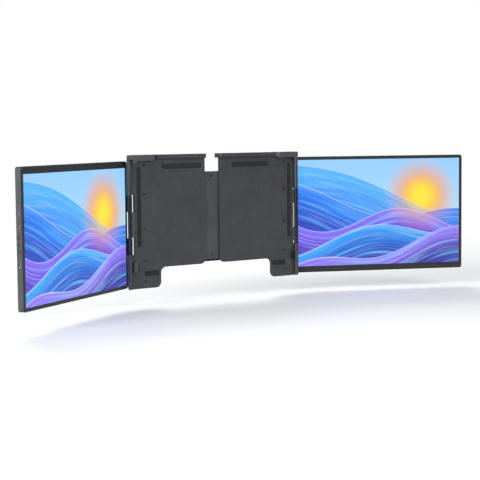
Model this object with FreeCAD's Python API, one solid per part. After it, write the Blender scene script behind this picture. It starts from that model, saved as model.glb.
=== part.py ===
"""Twin-monitor laptop screen extender: two flat monitors on a sliding bracket that hangs on a laptop lid.

Millimetres. X runs to the right, Y away from the user and Z up. The origin is on the back plane of the
laptop lid that the bracket hangs on, midway across it and level with the middle of its screen.
"""
import FreeCAD, Part
import math
import os

V = FreeCAD.Vector

# Laptop lid that the bracket is set to
lid_width = 312.6
lid_thickness = 5.0
lid_top = 105.0

# General fits
slide_gap = 0.3
running_gap = 0.05
seat_gap = 0.1
press_gap = 0.02

# Monitor: a panel with equal side borders, one wide border and one narrow border
screen_width = 286.5
screen_height = 179.1
side_border = 5.0
wide_border = 10.2
narrow_border = 5.3
monitor_depth = 10.0
monitor_corner_radius = 4.0
monitor_edge_chamfer = 0.8
monitor_mid_z = 5.9
bezel_depth = 1.4
bezel_edge_chamfer = 0.4
case_wall = 1.5
glass_recess = 0.4
window_gap = 0.1
cell_depth = 1.5
cell_overlap = 2.6
backlight_depth = 1.4
backlight_setback = 3.0

# Ports and keys on the monitor's outer edge, heights from the middle of the edge
port_line_depth = 5.8
usb_c_heights = (34.9, 18.1)
usb_c_width = 8.9
usb_c_thickness = 3.2
hdmi_height = -32.0
hdmi_width = 11.2
hdmi_thickness = 3.2
hdmi_corner_cut = 1.0
socket_wall = 0.35
socket_length = 7.4
socket_floor = 1.0
socket_tongue = 0.7
socket_tongue_inset = 0.8
socket_tongue_share = 0.36
hdmi_tongue_shift = 0.4
port_slot_gap = 0.15
port_rim_width = 0.5
port_rim_depth = 0.4
key_names = ("menu", "up", "down")
key_heights = (2.7, -6.8, -16.3)
key_radius = 2.4
key_proud = 0.5
key_edge_chamfer = 0.3
key_gap = 0.15
key_flange_radius = 3.2
key_flange_depth = 0.7
key_stem_radius = 1.1
key_stem_length = 1.2
key_travel = 0.4
key_switch_size = 4.0
key_switch_depth = 3.4

# Driver board behind the panel
board_thickness = 0.8
board_width = 44.0
board_height = 124.0
board_corner_radius = 2.0
board_seat_gap = 0.3
chip_depth = 1.6
chip_layout = ((-18.0, 30.0, 12.0, 12.0), (-22.0, 5.0, 14.0, 14.0), (-14.0, -22.0, 8.0, 10.0),
               (-26.0, -42.0, 9.0, 6.0))

# Monitor hinges: a leaf with two knuckles turns on pins held by the bracket's posts
knuckle_inner = 20.3
knuckle_outer = 42.7
collar_gap = 0.2
collar_height = 2.6
collar_overhang = 0.35
hinge_core_radius = 2.6
hinge_pin_radius = 1.5
hinge_pin_reach = 10.0
pin_end_gap = 1.5
leaf_thickness = 1.8
leaf_side_gap = 0.6
leaf_tab_depth = 5.2
leaf_tab_length = 24.0
leaf_slot_gap = 0.2
leaf_screw_inset = 8.0
leaf_screw_radius = 0.9
leaf_screw_head_radius = 1.9
leaf_screw_head_depth = 0.6
leaf_boss_radius = 2.6

# Each side: how far the post stands out from the lid's edge, its radius, where the monitor sits from the
# post's axis, its fold towards the user, where the bar ends near the middle, and the plate's gap to knuckles
left_post_stand_off = 9.1
left_post_radius = 3.7
left_inner_offset = -5.0
left_front_offset = 6.7
left_fold = 30.2
left_bar_inner = 23.0
left_plate_gap = 7.7
right_post_stand_off = 4.3
right_post_radius = 3.5
right_inner_offset = 3.0
right_front_offset = 17.3
right_fold = 24.4
right_bar_inner = 4.9
right_plate_gap = 1.0
left_axis_y = -1.4
right_axis_y = -1.2

# Arm plate behind the lid
plate_front = 0.6
plate_thickness = 2.8
plate_leg_width = 44.0
plate_low = -93.0
plate_mid_low = -62.0
plate_corner_radius = 9.0
post_top = 103.9
post_end_chamfer = 1.0
web_inset = 4.3
tab_reach = 4.2
tab_end_gap = 0.5
trim_reach = 8.4
trim_width = 1.2
trim_proud = 0.6
trim_hook = 1.2
trim_end_inset = 0.5
tab_corner_cut = 1.2

# Top bar, resting over the lid
lid_top_gap = 0.4
bar_front = -4.5
bar_back = 13.1
bar_height = 7.0
bar_lip_chamfer = 2.0
bar_edge_chamfer = 0.8
bar_end_inset = 40.8
bar_wall = 1.4
bar_tenon_length = 34.5
bar_tenon_inset = 1.8

# Corner claw over the lid's top corner
claw_wall = 1.5
claw_lip_gap = 0.3
claw_lip_overlap = 1.7
claw_length = 34.3
claw_slant = 6.0
claw_height = 7.1
claw_corner_radius = 4.0
claw_front_cut = 3.7
claw_outer_back = -1.5
claw_back_slant = 11.0
claw_side_inner = 0.6
claw_side_outer = 4.1
claw_side_drop = 5.4
claw_side_lip = 2.7
tenon_gap = 0.15
claw_pad_inset = 4.0
claw_pad_depth = 0.6

# Side clip on the lid's side edge
clip_mid_z = -59.0
clip_height = 16.0
clip_finger = 1.5
clip_side_inner = 0.6
clip_side_outer = 4.8
clip_overlap = 2.0
clip_flange = 1.4
clip_flange_inset = 16.3
clip_pad_tip = 1.4
clip_pad_bridge = 0.25
clip_corner_radius = 1.2
clip_edge_chamfer = 0.6
clip_gap = 0.2
clip_pad_thickness = 0.5

# Side beam that stiffens the arm plate
beam_outer_inset = 5.5
beam_width = 27.8
beam_edge_chamfer = 1.2
beam_low = -88.0
beam_wall = 1.8
beam_boss_radius = 3.4

# Rubber pads between plate and lid
pad_sink = 0.5
pad_radius = 2.5
pad_width = 6.5
strip_pad_width = 8.0
side_pad_inset = 6.3
side_pad_low = -28.0
side_pad_high = 94.0
foot_pad_inset = 4.0
foot_pad_length = 26.0
foot_pad_mid_z = -70.0
top_pad_start = 30.0
top_pad_length = 74.0
top_pad_mid_z = 94.0

# Screws of the bracket
screw_radius = 1.2
screw_head_radius = 2.4
screw_head_depth = 1.2
screw_cross_reach = 1.6
screw_cross_half = 0.25
screw_cross_depth = 0.5
screw_length = 7.0
arm_screw_heights = (96.0, 52.0, -2.0, -50.0, -82.0)

# Centre spine with two guide rods
spine_mid_x = -9.0
spine_end_gap = 3.0
spine_boss_depth = 3.0
spine_boss_half_height = 5.0
spine_low = -56.0
spine_high = 84.0
spine_wall = 1.8
spine_corner_radius = 8.0
spine_edge_chamfer = 1.0
cover_thickness = 1.2
rod_radius = 2.0
rod_heights = (60.0, -32.0)
block_length = 30.0
block_half_height = 6.5
neck_half_height = 3.5
slot_gap = 0.5
block_end_gap = 3.2
slide_out = 32.0
slide_in = 8.0
spine_screw_inset = 7.0
spine_boss_radius = 3.6

# Kickstand with a blade that pulls out
stand_half_width = 42.0
stand_pivot_z = 72.0
stand_thickness = 3.8
stand_low = -54.0
stand_corner_radius = 5.0
stand_barrel_radius = 2.8
stand_barrel_half = 36.0
stand_pin_radius = 1.5
stand_lug_width = 4.6
stand_lug_gap = 0.4
stand_barrel_gap = 1.2
stand_edge_chamfer = 0.6
stand_neck_front = 0.6
stand_neck_back = 0.4
blade_half_width = 34.0
blade_thickness = 1.4
blade_length = 86.0
blade_gap = 0.2
blade_pull_radius = 9.0
foot_height = 6.0
foot_grip = 3.0
foot_overhang = 1.5
foot_edge_radius = 1.4

# Sizes worked out from the ones above
lid_half = lid_width / 2
lid_front = -lid_thickness
left_side = dict(axis_x=lid_half + left_post_stand_off, axis_y=left_axis_y, post_radius=left_post_radius,
                 inner_offset=left_inner_offset, front_offset=left_front_offset, fold=left_fold,
                 bar_inner=left_bar_inner, plate_gap=left_plate_gap)
right_side = dict(axis_x=lid_half + right_post_stand_off, axis_y=right_axis_y, post_radius=right_post_radius,
                  inner_offset=right_inner_offset, front_offset=right_front_offset, fold=right_fold,
                  bar_inner=right_bar_inner, plate_gap=right_plate_gap)
web_edge = lid_half - web_inset
plate_step = web_edge - plate_leg_width
bar_outer = lid_half - bar_end_inset
bar_tenon_end = bar_outer + bar_tenon_length
claw_start_front = lid_half - claw_length
claw_start_back = claw_start_front - claw_slant
clip_flange_inner = lid_half - clip_flange_inset
beam_outer = lid_half - beam_outer_inset
beam_inner = beam_outer - beam_width
plate_back = plate_front + plate_thickness
bar_low = lid_top + lid_top_gap
monitor_width = screen_width + 2 * side_border
monitor_height = screen_height + wide_border + narrow_border
monitor_half = monitor_height / 2
screen_low = narrow_border - monitor_half
screen_high = screen_low + screen_height
post_gap = knuckle_outer + 2 * collar_gap + collar_height
spine_half_width = beam_inner - slide_in - spine_end_gap - abs(spine_mid_x)
block_rest_offset = spine_half_width - spine_wall - slide_out - block_length / 2 - block_end_gap
spine_front = plate_back + slide_gap
spine_back = bar_back
cover_back = spine_front + cover_thickness
block_front = cover_back + slide_gap
block_back = spine_back - spine_wall - slide_gap
rod_y = (block_front + block_back) / 2
stand_front = spine_back + slide_gap
stand_back = stand_front + stand_thickness
stand_axis_y = stand_front + stand_barrel_radius


def box(x, y, z):
    """Block between pairs of X, Y and Z limits."""
    return Part.makeBox(x[1] - x[0], y[1] - y[0], z[1] - z[0], V(x[0], y[0], z[0]))


def outline(points, y):
    """Flat outline of (x, z) points, extruded between two depths."""
    wire = Part.makePolygon([V(px, y[0], pz) for px, pz in points + points[:1]])
    return Part.Face(wire).extrude(V(0, y[1] - y[0], 0))


def plan(points, z):
    """Outline of (x, y) points seen from above, extruded between two heights."""
    wire = Part.makePolygon([V(px, py, z[0]) for px, py in points + points[:1]])
    return Part.Face(wire).extrude(V(0, 0, z[1] - z[0]))


def edges_along(shape, axis, keep=lambda edge: True):
    """Straight edges that run along one axis and pass a test on their middle point."""
    found = []
    for edge in shape.Edges:
        if len(edge.Vertexes) != 2:
            continue
        run = edge.Vertexes[1].Point.sub(edge.Vertexes[0].Point)
        if run.Length > 0 and abs(run.dot(axis)) > 0.9999 * run.Length and keep(edge.CenterOfMass):
            found.append(edge)
    return found


def rounded(x, y, z, radius):
    """Plate in the XZ plane with four rounded corners."""
    block = box(x, y, z)
    return block.makeFillet(radius, edges_along(block, V(0, 1, 0)))


def face_rim(shape, y):
    """Outer edges of the face that lies at one depth."""
    rim = []
    for face in shape.Faces:
        if abs(face.BoundBox.YMin - y) < 1e-6 and abs(face.BoundBox.YMax - y) < 1e-6:
            rim += face.OuterWire.Edges
    return rim


def rod(radius, start, direction, length):
    """Round bar from a start point."""
    return Part.makeCylinder(radius, length, V(*start), V(*direction))


def mirrored(shape):
    """The same piece on the other side of the middle plane."""
    return shape.mirror(V(0, 0, 0), V(1, 0, 0))


def save(shapes, name):
    """Write one sub-part, which may be a group of separate solids."""
    solids = [solid for shape in shapes for solid in shape.Solids]
    Part.makeCompound(solids).exportStep("parts/" + name + ".step")


def slot(width, thickness, length, x, y, z):
    """Round-ended slot or plug that runs along X, wide along Z."""
    block = box((x, x + length), (y - thickness / 2, y + thickness / 2), (z - width / 2, z + width / 2))
    return block.makeFillet(thickness / 2 - 0.01, edges_along(block, V(1, 0, 0)))


def hdmi_block(width, thickness, length, x, y, z):
    """Block that runs along X with two corners cut, as a small video socket has."""
    low, high = z - width / 2, z + width / 2
    front, back = y - thickness / 2, y + thickness / 2
    cut = hdmi_corner_cut
    points = [V(x, front, low), V(x, front, high), V(x, back - cut, high), V(x, back, high - cut),
              V(x, back, low + cut), V(x, back - cut, low), V(x, front, low)]
    return Part.Face(Part.makePolygon(points)).extrude(V(length, 0, 0))


def port_shapes(grow, length, x):
    """Solid plugs of the three port openings, grown on every side."""
    plugs = [slot(usb_c_width + 2 * grow, usb_c_thickness + 2 * grow, length, x, port_line_depth, z)
             for z in usb_c_heights]
    plugs.append(hdmi_block(hdmi_width + 2 * grow, hdmi_thickness + 2 * grow, length, x, port_line_depth,
                            hdmi_height))
    return plugs


def leaf_screw_places():
    """X and Z of the four screws that hold a hinge leaf."""
    mid = (knuckle_inner + knuckle_outer) / 2
    return [(-leaf_screw_inset, z) for z in (mid, -mid)] + [(-2.2 * leaf_screw_inset, z) for z in (mid, -mid)]


def back_cover():
    """Moulded tray with the port openings and the seats of board and hinge leaf."""
    cover = rounded((-monitor_width, 0), (bezel_depth, monitor_depth), (-monitor_half, monitor_half),
                    monitor_corner_radius)
    cover = cover.makeChamfer(monitor_edge_chamfer, face_rim(cover, monitor_depth))
    hollow = rounded((-monitor_width + case_wall, -case_wall), (bezel_depth, monitor_depth - case_wall),
                     (case_wall - monitor_half, monitor_half - case_wall), monitor_corner_radius - case_wall)
    cover = cover.cut(hollow)
    inner_back = monitor_depth - case_wall
    leaf_back = leaf_tab_depth + leaf_thickness
    for x, z in leaf_screw_places():
        boss_length = inner_back - leaf_back + case_wall / 2
        cover = cover.fuse(rod(leaf_boss_radius, (x, leaf_back, z), (0, 1, 0), boss_length))
        cover = cover.cut(rod(leaf_screw_radius, (x, leaf_back, z), (0, 1, 0), inner_back - leaf_back))
    for plug in port_shapes(port_slot_gap, case_wall * 2, -monitor_width - case_wall / 2):
        cover = cover.cut(plug)
    rim_start = -monitor_width - port_rim_depth
    for plug in port_shapes(port_slot_gap + port_rim_width, port_rim_depth * 2, rim_start):
        cover = cover.cut(plug)
    for z in key_heights:
        cover = cover.cut(rod(key_radius + key_gap, (-monitor_width - 1, port_line_depth, z), (1, 0, 0),
                              case_wall + 2))
    tab = (leaf_tab_depth - leaf_slot_gap, leaf_tab_depth + leaf_thickness + leaf_slot_gap)
    for z in ((knuckle_inner, knuckle_outer), (-knuckle_outer, -knuckle_inner)):
        cover = cover.cut(box((-case_wall * 2, 1), tab, (z[0] - leaf_slot_gap, z[1] + leaf_slot_gap)))
    return cover.removeSplitter()


def screen_range(shrink):
    """X and Z limits of the lit screen, drawn in on every side."""
    return ((side_border - monitor_width + shrink, -side_border - shrink),
            (screen_low + shrink, screen_high - shrink))


def front_bezel():
    """Frame round the screen, closing the front of the tray."""
    frame = rounded((-monitor_width, 0), (0, bezel_depth), (-monitor_half, monitor_half),
                    monitor_corner_radius)
    frame = frame.makeChamfer(bezel_edge_chamfer, face_rim(frame, 0))
    x, z = screen_range(0)
    return frame.cut(box(x, (-1, bezel_depth + 1), z))


def display_glass():
    """Cover sheet that fills the bezel's window."""
    x, z = screen_range(window_gap)
    return box(x, (glass_recess, bezel_depth), z)


def lcd_cell():
    """Liquid-crystal cell, wider than the window on every side."""
    x, z = screen_range(-cell_overlap)
    return box(x, (bezel_depth, bezel_depth + cell_depth), z)


def backlight():
    """Light guide and reflector behind the cell."""
    x, z = screen_range(0)
    front = bezel_depth + cell_depth + seat_gap
    return box((x[0] + backlight_setback, x[1]), (front, front + backlight_depth), z)


def board_depths():
    """Front and back of the driver board."""
    back = monitor_depth - case_wall - board_seat_gap
    return back - board_thickness, back


def driver_board():
    """Circuit board with its chips and the three switches behind the keys."""
    front, back = board_depths()
    edge = -monitor_width + case_wall + seat_gap * 5
    board = box((edge, edge + board_width), (front, back), (-board_height / 2, board_height / 2))
    board = board.makeFillet(board_corner_radius, edges_along(board, V(0, 1, 0)))
    for x, z, width, height in chip_layout:
        centre = edge + board_width + x
        board = board.fuse(box((centre - width / 2, centre + width / 2), (front - chip_depth, front),
                               (z - height / 2, z + height / 2)))
    switch_face = key_switch_face()
    for z in key_heights:
        board = board.fuse(box((switch_face, switch_face + key_switch_depth),
                               (front - key_switch_size / 2, front),
                               (z - key_switch_size / 2, z + key_switch_size / 2)))
        board = board.fuse(rod(key_stem_radius, (switch_face, port_line_depth, z), (1, 0, 0),
                               key_switch_depth))
    return board.removeSplitter()


def key_switch_face():
    """X of the switch faces, just past the pressed keys."""
    return -monitor_width + case_wall + seat_gap + key_flange_depth + key_stem_length + key_travel + seat_gap


def key_button(z):
    """Round key with a flange that keeps it in its hole and a stem that reaches its switch."""
    inside = -monitor_width + case_wall + seat_gap
    button = rod(key_radius, (-monitor_width - key_proud, port_line_depth, z), (1, 0, 0),
                 inside + monitor_width + key_proud)
    face_edges = [edge for edge in button.Edges if edge.BoundBox.XMax < -monitor_width]
    button = button.makeChamfer(key_edge_chamfer, face_edges)
    button = button.fuse(rod(key_flange_radius, (inside, port_line_depth, z), (1, 0, 0), key_flange_depth))
    keep = box((inside - 5, inside + 5),
               (bezel_depth + cell_depth + 2 * seat_gap, board_depths()[0] - 2 * seat_gap),
               (z - key_flange_radius, z + key_flange_radius))
    button = button.common(keep)
    button = button.fuse(rod(key_stem_radius, (inside + key_flange_depth, port_line_depth, z), (1, 0, 0),
                             key_stem_length))
    return button.removeSplitter()


def usb_c_sockets():
    """Two oval socket shells with their tongues."""
    sockets = []
    start = -monitor_width + seat_gap
    for z in usb_c_heights:
        shell = slot(usb_c_width, usb_c_thickness, socket_length, start, port_line_depth, z)
        bore = slot(usb_c_width - 2 * socket_wall, usb_c_thickness - 2 * socket_wall,
                    socket_length - socket_floor, start,
                    port_line_depth, z)
        tongue = box((start + socket_tongue_inset, start + socket_length - socket_floor / 2),
                     (port_line_depth - socket_tongue / 2, port_line_depth + socket_tongue / 2),
                     (z - socket_tongue_share * usb_c_width, z + socket_tongue_share * usb_c_width))
        sockets.append(shell.cut(bore).fuse(tongue).removeSplitter())
    return sockets


def mini_hdmi_socket():
    """Small video socket with its tongue."""
    start = -monitor_width + seat_gap
    shell = hdmi_block(hdmi_width, hdmi_thickness, socket_length, start, port_line_depth, hdmi_height)
    bore = hdmi_block(hdmi_width - 2 * socket_wall, hdmi_thickness - 2 * socket_wall,
                      socket_length - socket_floor, start,
                      port_line_depth, hdmi_height)
    tongue = box((start + socket_tongue_inset, start + socket_length - socket_floor / 2),
                 (port_line_depth - hdmi_tongue_shift - socket_tongue / 2,
                  port_line_depth - hdmi_tongue_shift + socket_tongue / 2),
                 (hdmi_height - socket_tongue_share * hdmi_width,
                  hdmi_height + socket_tongue_share * hdmi_width))
    return shell.cut(bore).fuse(tongue).removeSplitter()


def hinge_leaf(side):
    """Steel leaf inside the case, with two arms round its edge to the knuckles and the core between them."""
    axis_x, axis_y = side["inner_offset"], -side["front_offset"]
    tab = (leaf_tab_depth, leaf_tab_depth + leaf_thickness)
    strip = (leaf_side_gap, leaf_side_gap + leaf_thickness)
    leaf = box((-leaf_tab_length, -case_wall - seat_gap), tab, (-knuckle_outer, knuckle_outer))
    for z in ((knuckle_inner, knuckle_outer), (-knuckle_outer, -knuckle_inner)):
        leaf = leaf.fuse(box((-leaf_tab_length, strip[1]), tab, z))
        leaf = leaf.fuse(box(strip, (axis_y - leaf_thickness / 2, tab[1]), z))
        leaf = leaf.fuse(box((min(axis_x, strip[0]), max(axis_x, strip[1])),
                             (axis_y - leaf_thickness / 2, axis_y + leaf_thickness / 2), z))
        leaf = leaf.fuse(rod(side["post_radius"], (axis_x, axis_y, z[0]), (0, 0, 1), z[1] - z[0]))
        leaf = leaf.cut(rod(hinge_pin_radius + running_gap, (axis_x, axis_y, z[0] - 1), (0, 0, 1),
                            z[1] - z[0] + 2))
    leaf = leaf.fuse(rod(hinge_core_radius, (axis_x, axis_y, -knuckle_inner), (0, 0, 1), 2 * knuckle_inner))
    for x, z in leaf_screw_places():
        leaf = leaf.cut(rod(leaf_screw_radius, (x, 0, z), (0, 1, 0), monitor_depth))
    return leaf.removeSplitter()


def leaf_screws():
    """Four screws that hold the hinge leaf on the tray's bosses."""
    screws = []
    depth = monitor_depth - case_wall - seat_gap
    for x, z in leaf_screw_places():
        head = rod(leaf_screw_head_radius, (x, leaf_tab_depth - leaf_screw_head_depth, z), (0, 1, 0),
                   leaf_screw_head_depth)
        shank = rod(leaf_screw_radius - press_gap, (x, leaf_tab_depth, z), (0, 1, 0), depth - leaf_tab_depth)
        screws.append(head.fuse(shank))
    return screws


def place_monitor(shape, side, name):
    """Hang a monitor piece on its hinge and fold it towards the user."""
    shape = shape.copy()
    if name == "right":
        shape.rotate(V(0, 0, 0), V(0, 1, 0), 180)
        shape.translate(V(side["inner_offset"], side["front_offset"], 0))
        shape.rotate(V(0, 0, 0), V(0, 0, 1), -side["fold"])
        shape.translate(V(side["axis_x"], side["axis_y"], monitor_mid_z))
    else:
        shape.translate(V(-side["inner_offset"], side["front_offset"], 0))
        shape.rotate(V(0, 0, 0), V(0, 0, 1), side["fold"])
        shape.translate(V(-side["axis_x"], side["axis_y"], monitor_mid_z))
    return shape


def monitor_pieces(side):
    """Every piece of one monitor, in the monitor's own place: X outward is negative, Y = 0 is its front."""
    pieces = {
        "back_cover": [back_cover()],
        "front_bezel": [front_bezel()],
        "display_glass": [display_glass()],
        "lcd_cell": [lcd_cell()],
        "backlight": [backlight()],
        "driver_board": [driver_board()],
        "usb_c_sockets": usb_c_sockets(),
        "mini_hdmi_socket": [mini_hdmi_socket()],
        "hinge_leaf": [hinge_leaf(side)],
        "leaf_screws": leaf_screws(),
    }
    for name, z in zip(key_names, key_heights):
        pieces[name + "_key"] = [key_button(z)]
    return pieces


def pad_places():
    """X, Z limits of the pads on an arm plate: beside the posts, on the lower leg and under the bar."""
    side_outer = lid_half - side_pad_inset
    foot_inner = plate_step + foot_pad_inset
    half = strip_pad_width / 2
    return [((side_outer - pad_width, side_outer), (side_pad_low, side_pad_high)),
            ((foot_inner, foot_inner + foot_pad_length), (foot_pad_mid_z - half, foot_pad_mid_z + half)),
            ((top_pad_start, top_pad_start + top_pad_length), (top_pad_mid_z - half, top_pad_mid_z + half))]


def arm_plate(side):
    """Flat plate behind the lid, with the two hinge posts on its outer edge."""
    depth = (plate_front, plate_back)
    inner = side["bar_inner"]
    body = outline([(inner, plate_mid_low), (plate_step, plate_mid_low), (plate_step, plate_low),
                    (web_edge, plate_low), (web_edge, bar_low), (inner, bar_low)], depth)
    corners = [(inner, plate_mid_low), (plate_step, plate_mid_low), (plate_step, plate_low)]
    body = body.makeFillet(plate_corner_radius, edges_along(body, V(0, 1, 0), lambda c: any(
        abs(c.x - px) < 0.1 and abs(c.z - pz) < 0.1 for px, pz in corners)))
    axis_x, axis_y, radius = side["axis_x"], side["axis_y"], side["post_radius"]
    for low, high in ((plate_low, monitor_mid_z - post_gap), (monitor_mid_z + post_gap, post_top)):
        body = body.fuse(box((web_edge, axis_x), depth, (low, high)))
        post = rod(radius, (axis_x, axis_y, low), (0, 0, 1), high - low)
        if low == plate_low:
            post = post.makeChamfer(post_end_chamfer, [e for e in post.Edges if e.BoundBox.ZMax < low + 0.01])
        body = body.fuse(post)
    body = body.fuse(box((web_edge, axis_x - radius - side["plate_gap"]), depth,
                         (monitor_mid_z - post_gap, monitor_mid_z + post_gap)))
    body = body.fuse(hinge_tab(side))
    for end in (-1, 1):
        start = monitor_mid_z + end * (post_gap - 1)
        body = body.cut(rod(hinge_pin_radius + press_gap, (axis_x, axis_y, start), (0, 0, end),
                            hinge_pin_reach + 1))
    low, high = clip_mid_z - clip_height / 2 - clip_gap, clip_mid_z + clip_height / 2 + clip_gap
    body = body.cut(box((lid_half + clip_side_inner - clip_gap, lid_half + clip_side_outer + clip_gap),
                        (lid_front - 5, plate_back + 1), (low, high)))
    body = body.cut(box((clip_flange_inner - clip_gap, lid_half + clip_side_outer),
                        (plate_back - clip_flange, plate_back + 1), (low, high)))
    for x, z in pad_places():
        body = body.cut(rounded(x, (plate_front - 1, plate_front + pad_sink), z, pad_radius))
    for z in arm_screw_heights:
        x = (beam_inner + beam_outer) / 2
        body = body.cut(rod(screw_head_radius + seat_gap, (x, plate_front - 1, z), (0, 1, 0),
                            screw_head_depth + 1))
        body = body.cut(rod(screw_radius + seat_gap, (x, plate_front, z), (0, 1, 0), plate_thickness + 1))
    return body.removeSplitter()


def tab_half_height():
    """Half height of the tab between the knuckles."""
    return knuckle_inner - tab_end_gap


def hinge_tab(side):
    """Tab of the plate that fills the recess between the two knuckles, with its outer corners cut."""
    reach = side["axis_x"] - tab_reach
    half = tab_half_height()
    low, high = monitor_mid_z - half, monitor_mid_z + half
    return outline([(web_edge, low), (reach - tab_corner_cut, low), (reach, low + tab_corner_cut),
                    (reach, high - tab_corner_cut),
                    (reach - tab_corner_cut, high), (web_edge, high)], (plate_front, plate_back))


def hinge_trim(side):
    """Bright strip along the tab, beside the lid, with short hooks outward at its ends."""
    inner = side["axis_x"] - trim_reach
    strip = inner + trim_width
    tip = strip + trim_hook
    half = tab_half_height() - trim_end_inset
    low, high = monitor_mid_z - half, monitor_mid_z + half
    return outline([(inner, low), (tip, low), (tip, low + trim_width), (strip, low + 2 * trim_width),
                    (strip, high - 2 * trim_width), (tip, high - trim_width), (tip, high), (inner, high)],
                   (plate_front - trim_proud, plate_front))


def top_bar(side):
    """Hollow bar that rests over the lid's top edge, with a tenon for the claw."""
    inner = side["bar_inner"]
    z = (bar_low, bar_low + bar_height)
    bar = box((inner, bar_outer), (bar_front, bar_back), z)
    bar = bar.makeChamfer(bar_lip_chamfer, edges_along(bar, V(1, 0, 0), lambda c: c.y < 0 and c.z < z[0] + 1))
    bar = bar.makeChamfer(bar_edge_chamfer, edges_along(bar, V(1, 0, 0), lambda c: c.z > z[1] - 1))
    bar = bar.makeChamfer(bar_edge_chamfer, edges_along(bar, V(0, 0, 1), lambda c: c.x < inner + 1))
    hollow = box((inner + bar_wall, bar_outer - bar_wall), (bar_front + 2 * bar_wall, bar_back - bar_wall),
                 (z[0] + bar_wall, z[1] - bar_wall))
    tenon = box((bar_outer, bar_tenon_end), (bar_front + bar_tenon_inset, bar_back - bar_tenon_inset),
                (z[0] + bar_tenon_inset, z[1] - bar_tenon_inset))
    return bar.cut(hollow).fuse(tenon).removeSplitter()


def corner_claw(side):
    """Hook over the lid's top corner: a top block, a front lip and a short side wall."""
    outer = side["axis_x"] + side["post_radius"]
    front = lid_front - claw_lip_gap - claw_wall
    side_outer = lid_half + claw_side_outer
    z = (bar_low, bar_low + claw_height)
    points = [(claw_start_front, front), (side_outer, front), (outer, front + claw_front_cut),
              (outer, claw_outer_back), (outer - claw_back_slant, bar_back), (claw_start_back, bar_back),
              (claw_start_back, front + claw_start_front - claw_start_back)]
    rounding = rounded((claw_start_back - 2 * claw_corner_radius, outer), (front - 1, bar_back + 1),
                       (z[0] - 2 * claw_corner_radius, z[1]), claw_corner_radius)
    claw = plan(points, z).common(rounding)
    lip = box((claw_start_front, side_outer), (front, front + claw_wall),
              (lid_top - claw_lip_overlap, z[0] + 1))
    wall = box((lid_half + claw_side_inner, side_outer), (front, plate_front),
               (lid_top - claw_side_drop, z[0] + 1))
    wall_lip = box((lid_half - claw_side_lip, side_outer), (front, front + claw_wall),
                   (lid_top - claw_side_drop, z[0] + 1))
    cap = box((lid_half + claw_side_inner, outer), (plate_front, bar_back), (post_top + seat_gap, z[0] + 1))
    cap = cap.common(plan(points, (post_top, z[0] + 1)))
    claw = claw.fuse(lip).fuse(wall).fuse(wall_lip)
    claw = claw.fuse(cap.cut(box((0, web_edge), (plate_front, plate_back), (0, bar_low))))
    tenon = box((bar_outer - 1, bar_tenon_end + tenon_gap),
                (bar_front + bar_tenon_inset - tenon_gap, bar_back - bar_tenon_inset + tenon_gap),
                (z[0] + bar_tenon_inset - tenon_gap, bar_low + bar_height - bar_tenon_inset + tenon_gap))
    claw = claw.cut(tenon).cut(claw_pad())
    if side["axis_x"] - side["post_radius"] - seat_gap < side_outer:
        post_front = side["axis_y"] - side["post_radius"] - seat_gap
        claw = claw.cut(box((lid_half, outer), (post_front, plate_front),
                            (lid_top - claw_side_drop - 1, post_top + seat_gap)))
    return claw.removeSplitter()


def claw_pad():
    """Rubber strip under the claw that the lid's top edge carries."""
    return box((claw_start_front + claw_pad_inset, lid_half - claw_pad_inset),
               (lid_front + seat_gap, -seat_gap), (lid_top, bar_low + claw_pad_depth))


def side_clip():
    """Hook over the lid's side edge, with a flange let into the back of the plate."""
    z = (clip_mid_z - clip_height / 2, clip_mid_z + clip_height / 2)
    front = lid_front - claw_lip_gap - clip_finger
    wall = (lid_half + clip_side_inner, lid_half + clip_side_outer)
    clip = box(wall, (front, plate_back), z)
    clip = clip.fuse(box((lid_half - clip_overlap, wall[1]), (front, front + clip_finger), z))
    clip = clip.fuse(box((clip_flange_inner, wall[1]), (plate_back - clip_flange, plate_back), z))
    clip = clip.removeSplitter()
    clip = clip.makeFillet(clip_corner_radius, edges_along(clip, V(0, 0, 1), lambda c: c.y < front + 0.1
                                                           and c.x > lid_half))
    return clip.makeChamfer(clip_edge_chamfer, edges_along(clip, V(0, 1, 0), lambda c: c.y < 0
                                                           and c.x > wall[1] - 0.1))


def clip_pad():
    """Rubber lining of the clip's side wall, with a lip round the finger's tip."""
    z = (clip_mid_z - clip_height / 2 + 1, clip_mid_z + clip_height / 2 - 1)
    front = lid_front - claw_lip_gap
    tip = lid_half - clip_overlap
    lining = box((lid_half + clip_side_inner - clip_pad_thickness, lid_half + clip_side_inner),
                 (front, plate_front), z)
    cap = box((tip - clip_pad_tip, tip), (front - clip_finger, front), z)
    bridge = box((tip - clip_pad_tip, lid_half + clip_side_inner), (front, front + clip_pad_bridge), z)
    return lining.fuse(cap).fuse(bridge).removeSplitter()


def side_beam():
    """Channel behind the plate that carries the load from the hinge posts up to the bar."""
    beam = box((beam_inner, beam_outer), (plate_back, bar_back), (beam_low, bar_low))
    beam = beam.makeChamfer(beam_edge_chamfer, edges_along(beam, V(0, 0, 1), lambda c: c.y > bar_back - 0.1)
                            + edges_along(beam, V(1, 0, 0), lambda c: c.y > bar_back - 0.1 and c.z < 0))
    hollow = box((beam_inner + beam_wall, beam_outer - beam_wall), (plate_back, bar_back - beam_wall),
                 (beam_low + beam_wall, bar_low - beam_wall))
    beam = beam.cut(hollow)
    x = (beam_inner + beam_outer) / 2
    for z in arm_screw_heights:
        boss_length = bar_back - beam_wall / 2 - plate_back
        beam = beam.fuse(rod(beam_boss_radius, (x, plate_back, z), (0, 1, 0), boss_length))
        beam = beam.cut(rod(screw_radius, (x, plate_back, z), (0, 1, 0), screw_length - plate_thickness))
    return beam.removeSplitter()


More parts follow.
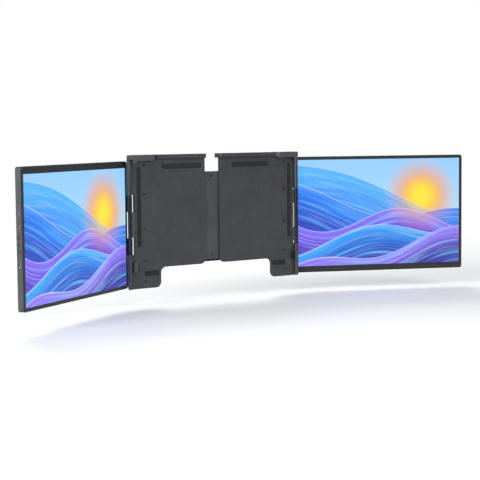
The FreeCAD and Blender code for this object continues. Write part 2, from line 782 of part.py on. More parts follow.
def screw(x, y, z, length):
    """Flat-headed screw driven away from the user."""
    head = rod(screw_head_radius, (x, y, z), (0, 1, 0), screw_head_depth)
    for reach, half in ((screw_cross_reach, screw_cross_half), (screw_cross_half, screw_cross_reach)):
        head = head.cut(box((x - reach, x + reach), (y, y + screw_cross_depth), (z - half, z + half)))
    return head.fuse(rod(screw_radius - press_gap, (x, y + screw_head_depth, z), (0, 1, 0),
                         length - screw_head_depth))


def slide_blocks(centre):
    """Two blocks on the plate's back that run on the guide rods."""
    blocks = []
    x = (centre - block_length / 2, centre + block_length / 2)
    for z in rod_heights:
        block = box(x, (block_front, block_back), (z - block_half_height, z + block_half_height))
        block = block.fuse(box(x, (plate_back, block_front), (z - neck_half_height, z + neck_half_height)))
        block = block.cut(rod(rod_radius + running_gap, (x[0] - 1, rod_y, z), (1, 0, 0), block_length + 2))
        blocks.append(block.removeSplitter())
    return blocks


def hinge_pins(side):
    """Steel pins from each post into the knuckle below or above it."""
    pins = []
    for end in (-1, 1):
        start = monitor_mid_z + end * (knuckle_inner + pin_end_gap)
        length = post_gap + hinge_pin_reach - knuckle_inner - pin_end_gap
        pins.append(rod(hinge_pin_radius, (side["axis_x"], side["axis_y"], start), (0, 0, end), length))
    return pins


def hinge_collars(side):
    """Washers between posts and knuckles."""
    collars = []
    for end in (-1, 1):
        start = monitor_mid_z + end * (knuckle_outer + collar_gap)
        collar = rod(side["post_radius"] + collar_overhang, (side["axis_x"], side["axis_y"], start),
                     (0, 0, end), collar_height)
        bore = rod(hinge_pin_radius + running_gap, (side["axis_x"], side["axis_y"], start - end), (0, 0, end),
                   collar_height + 2)
        collars.append(collar.cut(bore))
    return collars


def lid_pads():
    """Rubber pads let into the plate's front."""
    return [rounded(x, (0, plate_front + pad_sink), z, pad_radius) for x, z in pad_places()]


def arm_screws():
    """Screws through the plate into the side beam."""
    x = (beam_inner + beam_outer) / 2
    return [screw(x, plate_front, z, screw_length) for z in arm_screw_heights]


def arm_pieces(side, block_centre):
    """Every piece of one arm, built on the right-hand side."""
    return {
        "arm_plate": [arm_plate(side)],
        "top_bar": [top_bar(side)],
        "side_beam": [side_beam()],
        "corner_claw": [corner_claw(side)],
        "claw_pad": [claw_pad()],
        "side_clip": [side_clip()],
        "clip_pad": [clip_pad()],
        "lid_pads": lid_pads(),
        "hinge_pins": hinge_pins(side),
        "hinge_collars": hinge_collars(side),
        "hinge_trim": [hinge_trim(side)],
        "slide_blocks": slide_blocks(block_centre),
        "arm_screws": arm_screws(),
    }


def spine_limits():
    """X limits of the spine."""
    return spine_mid_x - spine_half_width, spine_mid_x + spine_half_width


def spine_screw_places():
    """X and Z of the screws that hold the spine's front cover."""
    low, high = spine_limits()
    return [(x, z) for x in (low + spine_screw_inset, spine_mid_x, high - spine_screw_inset)
            for z in (spine_low + spine_screw_inset, spine_high - spine_screw_inset)]


def spine_housing():
    """Tray that holds the rods and carries the kickstand's lugs."""
    x = spine_limits()
    tray = rounded(x, (spine_front, spine_back), (spine_low, spine_high), spine_corner_radius)
    tray = tray.makeChamfer(spine_edge_chamfer, face_rim(tray, spine_back))
    tray = tray.cut(rounded((x[0] + spine_wall, x[1] - spine_wall),
                            (spine_front - 1, spine_back - spine_wall),
                            (spine_low + spine_wall, spine_high - spine_wall),
                            spine_corner_radius - spine_wall))
    for px, pz in spine_screw_places():
        boss_length = spine_back - spine_wall / 2 - cover_back
        tray = tray.fuse(rod(spine_boss_radius, (px, cover_back, pz), (0, 1, 0), boss_length))
        tray = tray.cut(rod(screw_radius, (px, cover_back, pz), (0, 1, 0), screw_length - cover_thickness))
    for z in rod_heights:
        for end in (x[0] + spine_wall / 2, x[1] - spine_wall / 2 - spine_boss_depth):
            tray = tray.fuse(box((end, end + spine_boss_depth), (block_front, spine_back - spine_wall / 2),
                                 (z - spine_boss_half_height, z + spine_boss_half_height)))
        rod_length = x[1] - x[0] - spine_wall
        tray = tray.cut(rod(rod_radius + press_gap, (x[0] + spine_wall / 2, rod_y, z), (1, 0, 0), rod_length))
    for end in (-1, 1):
        inner = spine_mid_x + end * (stand_barrel_half + stand_lug_gap)
        outer = inner + end * stand_lug_width
        lug = box(sorted((inner, outer)), (spine_back - spine_wall / 2, stand_axis_y),
                  (stand_pivot_z - stand_barrel_radius, stand_pivot_z + stand_barrel_radius))
        lug = lug.fuse(rod(stand_barrel_radius, (min(inner, outer), stand_axis_y, stand_pivot_z), (1, 0, 0),
                           stand_lug_width))
        lug = lug.cut(rod(stand_pin_radius + press_gap, (min(inner, outer) - 1, stand_axis_y, stand_pivot_z),
                          (1, 0, 0), stand_lug_width + 2))
        tray = tray.fuse(lug)
    return tray.removeSplitter()


def block_reach(sign):
    """X limits that a slide block covers over its whole travel."""
    inner = block_rest_offset - block_length / 2 - slide_in
    outer = block_rest_offset + block_length / 2 + slide_out
    return sorted((spine_mid_x + sign * inner, spine_mid_x + sign * outer))


def spine_cover():
    """Front cover of the spine, with slots for the necks of the slide blocks."""
    x = spine_limits()
    wall = spine_wall + seat_gap
    cover = rounded((x[0] + wall, x[1] - wall), (spine_front, cover_back),
                    (spine_low + wall, spine_high - wall),
                    spine_corner_radius - wall)
    for sign in (-1, 1):
        low, high = block_reach(sign)
        for z in rod_heights:
            cover = cover.cut(box((low - slot_gap, high + slot_gap), (spine_front - 1, cover_back + 1),
                                  (z - neck_half_height - slot_gap, z + neck_half_height + slot_gap)))
    for px, pz in spine_screw_places():
        cover = cover.cut(rod(screw_radius + seat_gap, (px, spine_front - 1, pz), (0, 1, 0),
                              cover_thickness + 2))
        cover = cover.cut(rod(screw_head_radius + seat_gap, (px, spine_front - 1, pz), (0, 1, 0),
                              1 + cover_thickness / 2))
    return cover


def spine_screws():
    """Screws of the spine's front cover."""
    screws = []
    for px, pz in spine_screw_places():
        head = rod(screw_head_radius, (px, spine_front, pz), (0, 1, 0), cover_thickness / 2)
        screws.append(head.fuse(rod(screw_radius - press_gap, (px, spine_front + cover_thickness / 2, pz),
                                    (0, 1, 0), screw_length - cover_thickness)))
    return screws


def guide_rods():
    """Two polished rods across the spine."""
    x = spine_limits()
    start = x[0] + spine_wall
    return [rod(rod_radius, (start, rod_y, z), (1, 0, 0), x[1] - x[0] - 2 * spine_wall) for z in rod_heights]


def stand_leaf():
    """Kickstand leaf, hollow for the blade, with its barrel at the top."""
    x = (spine_mid_x - stand_half_width, spine_mid_x + stand_half_width)
    top = stand_pivot_z - stand_barrel_radius - stand_barrel_gap
    leaf = rounded(x, (stand_front, stand_back), (stand_low, top), stand_corner_radius)
    leaf = leaf.makeChamfer(stand_edge_chamfer, face_rim(leaf, stand_back))
    leaf = leaf.fuse(box((spine_mid_x - stand_barrel_half, spine_mid_x + stand_barrel_half),
                         (stand_front + stand_neck_front, stand_back - stand_neck_back),
                         (top - 1, stand_pivot_z)))
    leaf = leaf.fuse(rod(stand_barrel_radius,
                         (spine_mid_x - stand_barrel_half, stand_axis_y, stand_pivot_z), (1, 0, 0),
                         2 * stand_barrel_half))
    leaf = leaf.cut(rod(stand_pin_radius + running_gap,
                        (spine_mid_x - stand_barrel_half - 1, stand_axis_y, stand_pivot_z),
                        (1, 0, 0), 2 * stand_barrel_half + 2))
    y = blade_depths()
    blade_room = blade_half_width + blade_gap
    leaf = leaf.cut(box((spine_mid_x - blade_room, spine_mid_x + blade_room),
                        (y[0] - blade_gap, y[1] + blade_gap), (stand_low - 1, stand_low + blade_length + 1)))
    leaf = leaf.cut(rod(blade_pull_radius, (spine_mid_x, y[1], stand_low), (0, 1, 0), stand_thickness))
    return leaf.removeSplitter()


def blade_depths():
    """Front and back of the kickstand's blade."""
    mid = (stand_front + stand_back) / 2
    return mid - blade_thickness / 2, mid + blade_thickness / 2


def stand_blade():
    """Flat blade that pulls down out of the leaf."""
    y = blade_depths()
    blade = box((spine_mid_x - blade_half_width, spine_mid_x + blade_half_width), y,
                (stand_low - seat_gap * 3 - foot_grip, stand_low + blade_length))
    return blade


def stand_foot():
    """Rubber foot pressed on the blade's lower edge."""
    y = blade_depths()
    top = stand_low - seat_gap * 3
    half = blade_half_width + foot_overhang
    foot = box((spine_mid_x - half, spine_mid_x + half), (stand_front, stand_back), (top - foot_height, top))
    foot = foot.makeFillet(foot_edge_radius, edges_along(foot, V(1, 0, 0), lambda c: c.z < top - 1))
    return foot.cut(box((spine_mid_x - blade_half_width, spine_mid_x + blade_half_width), y,
                        (top - foot_grip, top)))


def stand_pin():
    """Pin through the lugs and the leaf's barrel."""
    half = stand_barrel_half + stand_lug_gap + stand_lug_width - seat_gap
    return rod(stand_pin_radius, (spine_mid_x - half, stand_axis_y, stand_pivot_z), (1, 0, 0), 2 * half)


def main():
    os.makedirs("parts", exist_ok=True)
    for name, side, block_centre in (("left", left_side, block_rest_offset - spine_mid_x),
                                     ("right", right_side, block_rest_offset + spine_mid_x)):
        for piece, shapes in monitor_pieces(side).items():
            save([place_monitor(shape, side, name) for shape in shapes], name + "_" + piece)
        for piece, shapes in arm_pieces(side, block_centre).items():
            save([mirrored(shape) if name == "left" else shape for shape in shapes], name + "_" + piece)
    save([spine_housing()], "spine_housing")
    save([spine_cover()], "spine_cover")
    save(spine_screws(), "spine_screws")
    save(guide_rods(), "guide_rods")
    save([stand_leaf()], "kickstand_leaf")
    save([stand_pin()], "kickstand_pin")
    save([stand_blade()], "kickstand_blade")
    save([stand_foot()], "kickstand_foot")


main()
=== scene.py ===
"""Looks of the twin-monitor laptop screen extender.

Materials, the picture on the screens, floor, light and camera. Metres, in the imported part's frame:
X to the right, Y away from the user, Z up.
"""
import math

import bpy
from mathutils import Matrix, Vector

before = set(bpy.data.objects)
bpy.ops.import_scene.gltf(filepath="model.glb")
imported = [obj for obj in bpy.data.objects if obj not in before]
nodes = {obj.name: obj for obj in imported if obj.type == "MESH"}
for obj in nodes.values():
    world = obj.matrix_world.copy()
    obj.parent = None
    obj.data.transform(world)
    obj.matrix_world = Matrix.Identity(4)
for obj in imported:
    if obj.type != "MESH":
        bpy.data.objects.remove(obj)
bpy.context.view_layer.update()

# Fold of each monitor towards the user, as in the CAD
FOLD = {"left": math.radians(30.2), "right": math.radians(24.4)}

# The colour mix node has several sockets of one name, so these go by number
MIX_COLOUR_A = 6
MIX_COLOUR_B = 7
MIX_COLOUR_RESULT = 2

# Tints of a grey, and plain white
NEUTRAL = (1.0, 1.0, 1.0)
COOL = (0.94, 1.0, 1.10)
WARM = (1.06, 1.0, 0.92)
WHITE = (1.0, 1.0, 1.0, 1.0)


class Finish:
    """One procedural material: adds nodes, links them and sets the values of the surface."""

    def __init__(self, name):
        self.material = bpy.data.materials.new(name)
        self.material.use_nodes = True
        self.tree = self.material.node_tree
        self.surface = self.tree.nodes["Principled BSDF"]
        self.place = self.add("TexCoord").outputs["Object"]

    def add(self, kind, **settings):
        """A new shader node with its settings."""
        node = self.tree.nodes.new("ShaderNode" + kind)
        for key, value in settings.items():
            setattr(node, key, value)
        return node

    def feed(self, socket, value):
        """Link a socket, or set it to a constant."""
        if isinstance(value, bpy.types.NodeSocket):
            self.tree.links.new(value, socket)
        else:
            socket.default_value = value

    def set(self, name, value):
        """Feed an input of the surface."""
        self.feed(self.surface.inputs[name], value)

    def math(self, operation, a, b=0.0):
        """Arithmetic on one or two values."""
        node = self.add("Math", operation=operation)
        self.feed(node.inputs[0], a)
        self.feed(node.inputs[1], b)
        return node.outputs[0]

    def step(self, value, low, high):
        """Smooth step from 0 at low to 1 at high."""
        node = self.add("MapRange", interpolation_type="SMOOTHSTEP")
        for socket, number in zip(node.inputs, (value, low, high, 0.0, 1.0)):
            self.feed(socket, number)
        return node.outputs[0]

    def remap(self, value, low, high):
        """Value of 0 to 1 spread over low to high."""
        return self.math("ADD", self.math("MULTIPLY", value, high - low), low)

    def stretched(self, scale):
        """Position scaled by its own amount along each axis."""
        node = self.add("Mapping")
        self.feed(node.inputs["Vector"], self.place)
        node.inputs["Scale"].default_value = scale
        return node.outputs[0]

    def noise(self, scale, detail, vector=None, roughness=0.5):
        """Noise value of 0 to 1."""
        node = self.add("TexNoise")
        self.feed(node.inputs["Vector"], self.place if vector is None else vector)
        node.inputs["Scale"].default_value = scale
        node.inputs["Detail"].default_value = detail
        node.inputs["Roughness"].default_value = roughness
        return node.outputs["Fac"]

    def mix(self, amount, a, b):
        """Colour between a and b."""
        node = self.add("Mix", data_type="RGBA")
        self.feed(node.inputs["Factor"], amount)
        self.feed(node.inputs[MIX_COLOUR_A], a)
        self.feed(node.inputs[MIX_COLOUR_B], b)
        return node.outputs[MIX_COLOUR_RESULT]

    def cover(self, colour, mask, amount, layer):
        """Colour with a layer over it where the mask is 1, covering it by the amount."""
        return self.mix(self.math("MULTIPLY", mask, amount), colour, layer)

    def bump(self, height, depth, strength):
        """Relief of a height value, with its depth in metres."""
        node = self.add("Bump")
        node.inputs["Strength"].default_value = strength
        node.inputs["Distance"].default_value = depth
        self.feed(node.inputs["Height"], height)
        self.set("Normal", node.outputs[0])


def grey(level, tint=NEUTRAL):
    """Colour of an even level with a slight tint."""
    return (level * tint[0], level * tint[1], level * tint[2], 1.0)


# Wear of moulded surfaces: how much a patch or speck covers, how much brighter and rougher it is,
# and how large a speck's noise is beside the grain's
RUBBED = dict(amount=0.35, brighter=1.25, rougher=0.05)
SPECKS = dict(amount=0.30, brighter=1.9, noise_share=0.7)


def moulded(name, dark, light, rough, tint=COOL, grain=2600.0, depth=0.00005, metal=0.0, specular=0.5):
    """Fine-grained moulded or coated surface with cloudy tone, rubbed patches and dust specks."""
    f = Finish(name)
    cloud = f.noise(scale=18.0, detail=4.0)
    rubbed = f.step(f.noise(scale=46.0, detail=5.0, roughness=0.62), low=0.46, high=0.68)
    specks = f.step(f.noise(scale=grain * SPECKS["noise_share"], detail=1.0), low=0.66, high=0.74)
    tone = f.mix(cloud, grey(dark, tint), grey(light, tint))
    tone = f.cover(tone, rubbed, RUBBED["amount"], grey(light * RUBBED["brighter"], tint))
    tone = f.cover(tone, specks, SPECKS["amount"], grey(light * SPECKS["brighter"], tint))
    roughness = f.remap(cloud, low=rough[0], high=rough[1])
    f.set("Base Color", tone)
    f.set("Roughness", f.math("ADD", roughness, f.math("MULTIPLY", rubbed, RUBBED["rougher"])))
    f.set("Metallic", metal)
    f.set("Specular IOR Level", specular)
    f.bump(f.noise(scale=grain, detail=3.0), depth, strength=0.55)
    return f.material


# Noise scales of brushed metal, along the strokes and across them
BRUSH_ALONG = 90.0
BRUSH_ACROSS = 5200.0


def brushed(name, dark, light, rough, along, tint=NEUTRAL):
    """Metal with fine brushing along one axis and faint wear."""
    f = Finish(name)
    scale = tuple(BRUSH_ALONG if axis == along else BRUSH_ACROSS for axis in range(3))
    lines = f.noise(scale=1.0, detail=6.0, vector=f.stretched(scale), roughness=0.7)
    wear = f.noise(scale=120.0, detail=4.0)
    f.set("Base Color", f.mix(f.math("MULTIPLY", lines, wear), grey(dark, tint), grey(light, tint)))
    f.set("Metallic", 1.0)
    f.set("Roughness", f.remap(lines, low=rough[0], high=rough[1]))
    f.bump(lines, depth=0.00002, strength=0.4)
    return f.material


def rubber(name):
    """Matt rubber with fine ribs of texture and a little grey dust."""
    f = Finish(name)
    dust = f.step(f.noise(scale=160.0, detail=5.0, roughness=0.7), low=0.50, high=0.76)
    f.set("Base Color", f.mix(dust, grey(0.014), grey(0.040)))
    f.set("Roughness", f.remap(dust, low=0.72, high=0.90))
    f.set("Specular IOR Level", 0.3)
    f.bump(f.noise(scale=3400.0, detail=2.0), depth=0.00008, strength=0.7)
    return f.material


TRACK_SCALE = 320.0
LACQUER_GREEN = (0.006, 0.075, 0.030, 1.0)
TRACK_GREEN = (0.014, 0.150, 0.060, 1.0)
SOLDER = grey(0.55)


def circuit_board(name):
    """Green board with lighter tracks under the lacquer and solder specks."""
    f = Finish(name)
    cells = f.add("TexVoronoi", distance="MANHATTAN", feature="F1")
    f.feed(cells.inputs["Vector"], f.stretched((TRACK_SCALE, TRACK_SCALE, TRACK_SCALE)))
    cells.inputs["Scale"].default_value = 1.0
    tracks = f.step(cells.outputs["Distance"], low=0.42, high=0.50)
    solder = f.step(f.noise(scale=900.0, detail=1.0), low=0.70, high=0.74)
    f.set("Base Color", f.mix(solder, f.mix(tracks, LACQUER_GREEN, TRACK_GREEN), SOLDER))
    f.set("Roughness", f.remap(solder, low=0.34, high=0.22))
    f.bump(tracks, depth=0.00005, strength=0.6)
    return f.material


WEAVE_SCALE = (900.0, 900.0, 5200.0)


def panel_layers(name):
    """Dark film stack of the panel, with a faint weave."""
    f = Finish(name)
    weave = f.noise(scale=1.0, detail=1.0, vector=f.stretched(WEAVE_SCALE))
    f.set("Base Color", f.mix(weave, grey(0.030), grey(0.060)))
    f.set("Roughness", f.remap(weave, low=0.30, high=0.42))
    f.bump(weave, depth=0.00002, strength=0.3)
    return f.material


# Picture on the screens: folded ribbons of light on a pale sky. Heights are fractions of its width.
# Each ribbon: height at mid-picture, slope, wave size, waves across, phase, fade depth, opacity,
# colour at the crest and colour in the depth
RIBBONS = (
    dict(level=0.440, slope=-0.30, swing=0.040, waves=0.75, phase=0.2, depth=0.26, cover=0.90,
         crest=(0.06, 0.45, 1.0, 1.0), deep=(0.01, 0.17, 0.95, 1.0)),
    dict(level=0.350, slope=-0.16, swing=0.060, waves=0.90, phase=1.9, depth=0.22, cover=0.92,
         crest=(0.02, 0.24, 1.0, 1.0), deep=(0.01, 0.05, 0.58, 1.0)),
    dict(level=0.265, slope=-0.02, swing=0.070, waves=1.05, phase=3.7, depth=0.20, cover=0.93,
         crest=(0.24, 0.15, 1.0, 1.0), deep=(0.06, 0.02, 0.50, 1.0)),
    dict(level=0.180, slope=0.12, swing=0.060, waves=0.95, phase=5.2, depth=0.17, cover=0.93,
         crest=(0.02, 0.36, 1.0, 1.0), deep=(0.01, 0.05, 0.55, 1.0)),
    dict(level=0.085, slope=0.20, swing=0.040, waves=1.20, phase=0.9, depth=0.15, cover=0.94,
         crest=(0.32, 0.20, 1.0, 1.0), deep=(0.04, 0.02, 0.38, 1.0)),
)

# Streaks in a ribbon: how often they repeat along it and across it, their shift from one ribbon to
# the next, and their noise
SILK = dict(along=1.6, across=34.0, shift=3.7, detail=3.0, roughness=0.6)
HAIR = dict(along=2.4, across=150.0, shift=5.1, detail=2.0, roughness=0.5)
SILK_LIGHT = (0.20, 0.72, 1.0, 1.0)
SILK_DARK = (0.012, 0.012, 0.22, 1.0)
SILK_LIGHT_COVER = 0.62
SILK_DARK_COVER = 0.45

# White hairs cover the crest by this much, and the depth by this much less
HAIR_COVER = 0.55
HAIR_LOSS = 0.35

# Bright rim of a ribbon: its width below the crest, the blur of its edge, the end of that blur where
# the ribbon is whole, and how much it covers
RIM_WIDTH = 0.009
EDGE_BLUR = 0.002
EDGE_WHOLE = 0.004
RIM_COVER = 0.60

# Sky between two heights, and the warm glow: place, radius and core's radius, how sharp the core is,
# and how much it covers behind the ribbons and over them
SKY_LOW = (0.40, 0.74, 1.0, 1.0)
SKY_HIGH = (0.31, 0.63, 1.0, 1.0)
SKY_FROM = 0.30
SKY_TO = 0.62
GLOW = dict(u=0.76, v=0.40, radius=0.26, core=0.15, core_share=0.15, behind=0.95, over=0.70)
GLOW_RIM = (1.0, 0.34, 0.0, 1.0)
GLOW_CORE = (1.0, 0.80, 0.05, 1.0)


def picture_place(f, side):
    """Position across and up the picture, both as fractions of its width."""
    sign = -1.0 if side == "left" else 1.0
    along = Vector((sign * math.cos(FOLD[side]), -math.sin(FOLD[side]), 0.0)) * sign
    corners = [vertex.co for vertex in nodes[side + "_display_glass"].data.vertices]
    start = min(corner.dot(along) for corner in corners)
    width = max(corner.dot(along) for corner in corners) - start
    low = min(corner.z for corner in corners)
    dot = f.add("VectorMath", operation="DOT_PRODUCT")
    f.feed(dot.inputs[0], f.place)
    dot.inputs[1].default_value = along
    u = f.math("DIVIDE", f.math("SUBTRACT", dot.outputs["Value"], start), width)
    split = f.add("SeparateXYZ")
    f.feed(split.inputs[0], f.place)
    v = f.math("DIVIDE", f.math("SUBTRACT", split.outputs["Z"], low), width)
    return u, v


def streaks(f, u, below, kind, number):
    """Noise drawn out along a ribbon."""
    flow = f.add("CombineXYZ")
    f.feed(flow.inputs[0], f.math("MULTIPLY", u, kind["along"]))
    f.feed(flow.inputs[1], f.math("MULTIPLY", below, kind["across"]))
    flow.inputs[2].default_value = kind["shift"] * number
    return f.noise(1.0, kind["detail"], flow.outputs[0], kind["roughness"])


def ribbon(f, colour, u, v, shape, number):
    """Lay one folded ribbon over the picture: a bright crest, silky streaks below it and a soft fade."""
    turn = f.math("MULTIPLY", u, 2 * math.pi * shape["waves"])
    wave = f.math("SINE", f.math("ADD", turn, shape["phase"]))
    tilt = f.math("MULTIPLY", f.math("SUBTRACT", u, 0.5), shape["slope"])
    swing = f.math("MULTIPLY", wave, shape["swing"])
    crest = f.math("ADD", f.math("ADD", tilt, shape["level"]), swing)
    below = f.math("SUBTRACT", crest, v)
    silk = streaks(f, u, below, SILK, number)
    hair = f.step(streaks(f, u, below, HAIR, number), low=0.56, high=0.78)
    fade = f.step(below, 0.0, shape["depth"])
    tone = f.mix(fade, shape["crest"], shape["deep"])
    tone = f.cover(tone, f.step(silk, low=0.46, high=0.76), SILK_LIGHT_COVER, SILK_LIGHT)
    tone = f.cover(tone, f.step(silk, low=0.50, high=0.24), SILK_DARK_COVER, SILK_DARK)
    hair_cover = f.math("SUBTRACT", HAIR_COVER, f.math("MULTIPLY", fade, HAIR_LOSS))
    tone = f.cover(tone, hair, hair_cover, WHITE)
    rim = f.math("MULTIPLY", f.step(below, RIM_WIDTH, 0.0), f.step(below, -EDGE_BLUR, EDGE_BLUR))
    tone = f.cover(tone, rim, RIM_COVER, WHITE)
    return f.cover(colour, f.step(below, -EDGE_BLUR, EDGE_WHOLE), shape["cover"], tone)


def display(name, side):
    """Matt display glass that shows the picture."""
    f = Finish(name)
    u, v = picture_place(f, side)
    colour = f.mix(f.step(v, SKY_FROM, SKY_TO), SKY_LOW, SKY_HIGH)
    across = f.math("SUBTRACT", u, GLOW["u"])
    up = f.math("SUBTRACT", v, GLOW["v"])
    across_squared = f.math("MULTIPLY", across, across)
    up_squared = f.math("MULTIPLY", up, up)
    far = f.math("SQRT", f.math("ADD", across_squared, up_squared))
    glow = f.step(far, GLOW["radius"], 0.0)
    core = f.step(far, GLOW["core"], GLOW["core"] * GLOW["core_share"])
    colour = f.cover(colour, glow, GLOW["behind"], GLOW_RIM)
    colour = f.mix(core, colour, GLOW_CORE)
    for number, shape in enumerate(RIBBONS):
        colour = ribbon(f, colour, u, v, shape, number)
    colour = f.cover(colour, glow, GLOW["over"], f.mix(core, GLOW_RIM, GLOW_CORE))
    f.set("Base Color", grey(0.012))
    f.set("Emission Color", colour)
    f.set("Emission Strength", 1.0)
    f.set("Roughness", f.remap(f.noise(scale=60.0, detail=3.0), low=0.30, high=0.36))
    f.set("Specular IOR Level", 0.25)
    f.bump(f.noise(scale=4200.0, detail=1.0), depth=0.00001, strength=0.2)
    return f.material


# Fine coated surfaces: scale of the grain and its depth
FINE_GRAIN = dict(grain=3000.0, depth=0.00003)
FINER_GRAIN = dict(grain=3200.0, depth=0.00003)
FINEST_GRAIN = dict(grain=3600.0, depth=0.00003)

# Axis of the brushing
ALONG_X = 0
ALONG_Y = 1
ALONG_Z = 2

# Each moulded or brushed finish: darkest and lightest tone, then the range of roughness
finishes = {
    "case_black": moulded("case_black", 0.030, 0.044, (0.40, 0.50)),
    "bezel_black": moulded("bezel_black", 0.012, 0.017, (0.36, 0.46), specular=0.42, **FINER_GRAIN),
    "panel_dark": panel_layers("panel_dark"),
    "board_green": circuit_board("board_green"),
    "socket_steel": brushed("socket_steel", 0.30, 0.62, (0.22, 0.36), ALONG_X),
    "key_black": moulded("key_black", 0.020, 0.030, (0.36, 0.46), **FINEST_GRAIN),
    "arm_metal": moulded("arm_metal", 0.050, 0.072, (0.36, 0.46), metal=0.55, **FINE_GRAIN),
    "claw_plastic": moulded("claw_plastic", 0.040, 0.056, (0.40, 0.50)),
    "trim_metal": brushed("trim_metal", 0.16, 0.40, (0.24, 0.36), ALONG_Z),
    "hinge_steel": brushed("hinge_steel", 0.030, 0.075, (0.28, 0.40), ALONG_Z, tint=COOL),
    "pin_steel": brushed("pin_steel", 0.40, 0.66, (0.18, 0.28), ALONG_Z),
    "screw_steel": brushed("screw_steel", 0.05, 0.12, (0.30, 0.42), ALONG_Y),
    "rubber_black": rubber("rubber_black"),
    "slide_plastic": moulded("slide_plastic", 0.10, 0.14, (0.44, 0.54), tint=WARM, depth=0.00002),
    "spine_plastic": moulded("spine_plastic", 0.036, 0.052, (0.42, 0.52)),
    "left_screen": display("left_screen", "left"),
    "right_screen": display("right_screen", "right"),
}

# Finish of each node that both sides have, by its name without the side
SIDE_FINISHES = {
    "back_cover": "case_black",
    "front_bezel": "bezel_black",
    "lcd_cell": "panel_dark",
    "backlight": "panel_dark",
    "driver_board": "board_green",
    "usb_c_sockets": "socket_steel",
    "mini_hdmi_socket": "socket_steel",
    "menu_key": "key_black",
    "up_key": "key_black",
    "down_key": "key_black",
    "arm_plate": "arm_metal",
    "top_bar": "arm_metal",
    "side_beam": "arm_metal",
    "corner_claw": "claw_plastic",
    "side_clip": "claw_plastic",
    "claw_pad": "rubber_black",
    "clip_pad": "rubber_black",
    "lid_pads": "rubber_black",
    "hinge_leaf": "hinge_steel",
    "leaf_screws": "screw_steel",
    "hinge_pins": "pin_steel",
    "hinge_collars": "hinge_steel",
    "hinge_trim": "trim_metal",
    "slide_blocks": "slide_plastic",
    "arm_screws": "screw_steel",
}

# Finish of each node that is there once
SINGLE_FINISHES = {
    "spine_housing": "spine_plastic",
    "spine_cover": "spine_plastic",
    "spine_screws": "screw_steel",
    "guide_rods": "pin_steel",
    "kickstand_leaf": "case_black",
    "kickstand_pin": "pin_steel",
    "kickstand_blade": "hinge_steel",
    "kickstand_foot": "rubber_black",
}


def finish_of(node_name):
    """Finish that a CAD node is shown in."""
    if node_name in SINGLE_FINISHES:
        return finishes[SINGLE_FINISHES[node_name]]
    side, piece = node_name.split("_", 1)
    if piece == "display_glass":
        return finishes[side + "_screen"]
    return finishes[SIDE_FINISHES[piece]]


for node_name, node in nodes.items():
    for slot in node.material_slots:
        slot.material = finish_of(node_name)


# Height of the table that would carry the laptop, and half the width of the square that shows it.
# The table is whole up to one distance from the middle and gone at the other
TABLE_HEIGHT = -0.122
TABLE_HALF_WIDTH = 1.6
TABLE_WHOLE_TO = 0.7
TABLE_GONE_AT = 1.5


def pale_floor():
    """Pale table top that fades out into the white background."""
    f = Finish("pale_floor")
    split = f.add("SeparateXYZ")
    f.feed(split.inputs[0], f.place)
    x_squared = f.math("POWER", split.outputs["X"], 2.0)
    y_squared = f.math("POWER", split.outputs["Y"], 2.0)
    far = f.math("SQRT", f.math("ADD", x_squared, y_squared))
    f.set("Base Color", f.mix(f.noise(scale=30.0, detail=3.0), grey(0.86), grey(0.88)))
    f.set("Roughness", f.remap(f.noise(scale=12.0, detail=2.0), low=0.55, high=0.65))
    f.set("Alpha", f.step(far, TABLE_GONE_AT, TABLE_WHOLE_TO))
    mesh = bpy.data.meshes.new("floor")
    signs = ((-1, -1), (1, -1), (1, 1), (-1, 1))
    corners = [(x * TABLE_HALF_WIDTH, y * TABLE_HALF_WIDTH, TABLE_HEIGHT) for x, y in signs]
    mesh.from_pydata(corners, [], [(0, 1, 2, 3)])
    floor = bpy.data.objects.new("floor", mesh)
    mesh.materials.append(f.material)
    bpy.context.scene.collection.objects.link(floor)


# Soft lights: place and aim in metres, width and height in metres, power in watts
LIGHTS = (
    dict(name="left_light", place=(-2.4, -0.9, 0.9), target=(-0.1, 0.0, 0.0), size=(1.6, 1.6), power=72.0),
    dict(name="front_light", place=(0.4, -2.4, 1.6), target=(0.0, 0.0, 0.0), size=(2.0, 1.4), power=30.0),
    dict(name="back_light", place=(0.8, 1.8, 1.5), target=(0.0, 0.0, 0.0), size=(1.8, 1.2), power=35.0),
)
AMBIENT_COLOUR = (0.95, 0.98, 1.0, 1.0)
AMBIENT_STRENGTH = 0.42


def softbox(name, place, target, size, power):
    """Large soft light aimed at a point."""
    light = bpy.data.lights.new(name, "AREA")
    light.shape = "RECTANGLE"
    light.size = size[0]
    light.size_y = size[1]
    light.energy = power
    lamp = bpy.data.objects.new(name, light)
    lamp.location = place
    lamp.rotation_euler = (Vector(target) - Vector(place)).to_track_quat("-Z", "Y").to_euler()
    bpy.context.scene.collection.objects.link(lamp)


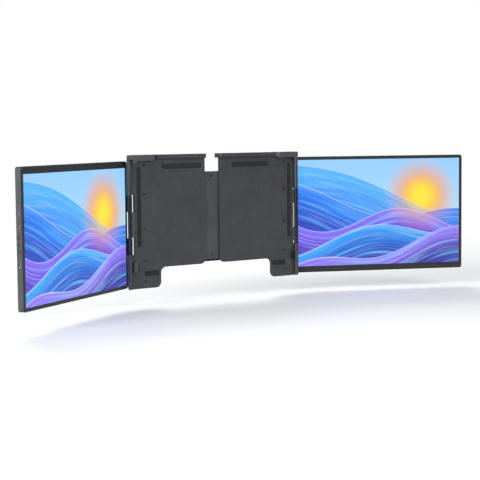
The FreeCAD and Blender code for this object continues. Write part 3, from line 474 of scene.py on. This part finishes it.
def white_surroundings():
    """White background for the camera, and softer light from all round on the object."""
    world = bpy.data.worlds.new("surroundings")
    bpy.context.scene.world = world
    world.use_nodes = True
    tree = world.node_tree
    tree.nodes.clear()
    path = tree.nodes.new("ShaderNodeLightPath")
    seen = tree.nodes.new("ShaderNodeMath")
    seen.operation = "MAXIMUM"
    tree.links.new(path.outputs["Is Camera Ray"], seen.inputs[0])
    tree.links.new(path.outputs["Is Transmission Ray"], seen.inputs[1])
    ambient = tree.nodes.new("ShaderNodeBackground")
    ambient.inputs["Color"].default_value = AMBIENT_COLOUR
    ambient.inputs["Strength"].default_value = AMBIENT_STRENGTH
    backdrop = tree.nodes.new("ShaderNodeBackground")
    backdrop.inputs["Color"].default_value = WHITE
    backdrop.inputs["Strength"].default_value = 1.0
    mixer = tree.nodes.new("ShaderNodeMixShader")
    tree.links.new(seen.outputs[0], mixer.inputs[0])
    tree.links.new(ambient.outputs[0], mixer.inputs[1])
    tree.links.new(backdrop.outputs[0], mixer.inputs[2])
    output = tree.nodes.new("ShaderNodeOutputWorld")
    tree.links.new(mixer.outputs[0], output.inputs[0])


# Camera fitted to the photo: place in metres, then its turn to the right, tilt down and roll in
# radians. The lens and sensor are in millimetres
CAMERA_PLACE = (-1.25763, -1.74819, 0.14720)
CAMERA_YAW = 0.6402626
CAMERA_PITCH = 0.0803618
CAMERA_ROLL = -0.00996358
CAMERA_LENS = 101.456
CAMERA_SENSOR = 36.0
CAMERA_NEAREST = 0.01


def camera():
    """Camera at the photograph's angle."""
    flat = math.cos(CAMERA_PITCH)
    forward = Vector((math.sin(CAMERA_YAW) * flat, math.cos(CAMERA_YAW) * flat, -math.sin(CAMERA_PITCH)))
    level = Vector((math.cos(CAMERA_YAW), -math.sin(CAMERA_YAW), 0.0))
    up = level.cross(forward)
    right = level * math.cos(CAMERA_ROLL) + up * math.sin(CAMERA_ROLL)
    top = up * math.cos(CAMERA_ROLL) - level * math.sin(CAMERA_ROLL)
    data = bpy.data.cameras.new("camera")
    data.sensor_width = CAMERA_SENSOR
    data.lens = CAMERA_LENS
    data.clip_start = CAMERA_NEAREST
    view = bpy.data.objects.new("camera", data)
    turn = Matrix((right, top, -forward)).transposed().to_4x4()
    view.matrix_world = Matrix.Translation(CAMERA_PLACE) @ turn
    bpy.context.scene.collection.objects.link(view)
    bpy.context.scene.camera = view


pale_floor()
white_surroundings()
for light in LIGHTS:
    softbox(**light)
camera()
bpy.context.scene.view_settings.view_transform = "Standard"
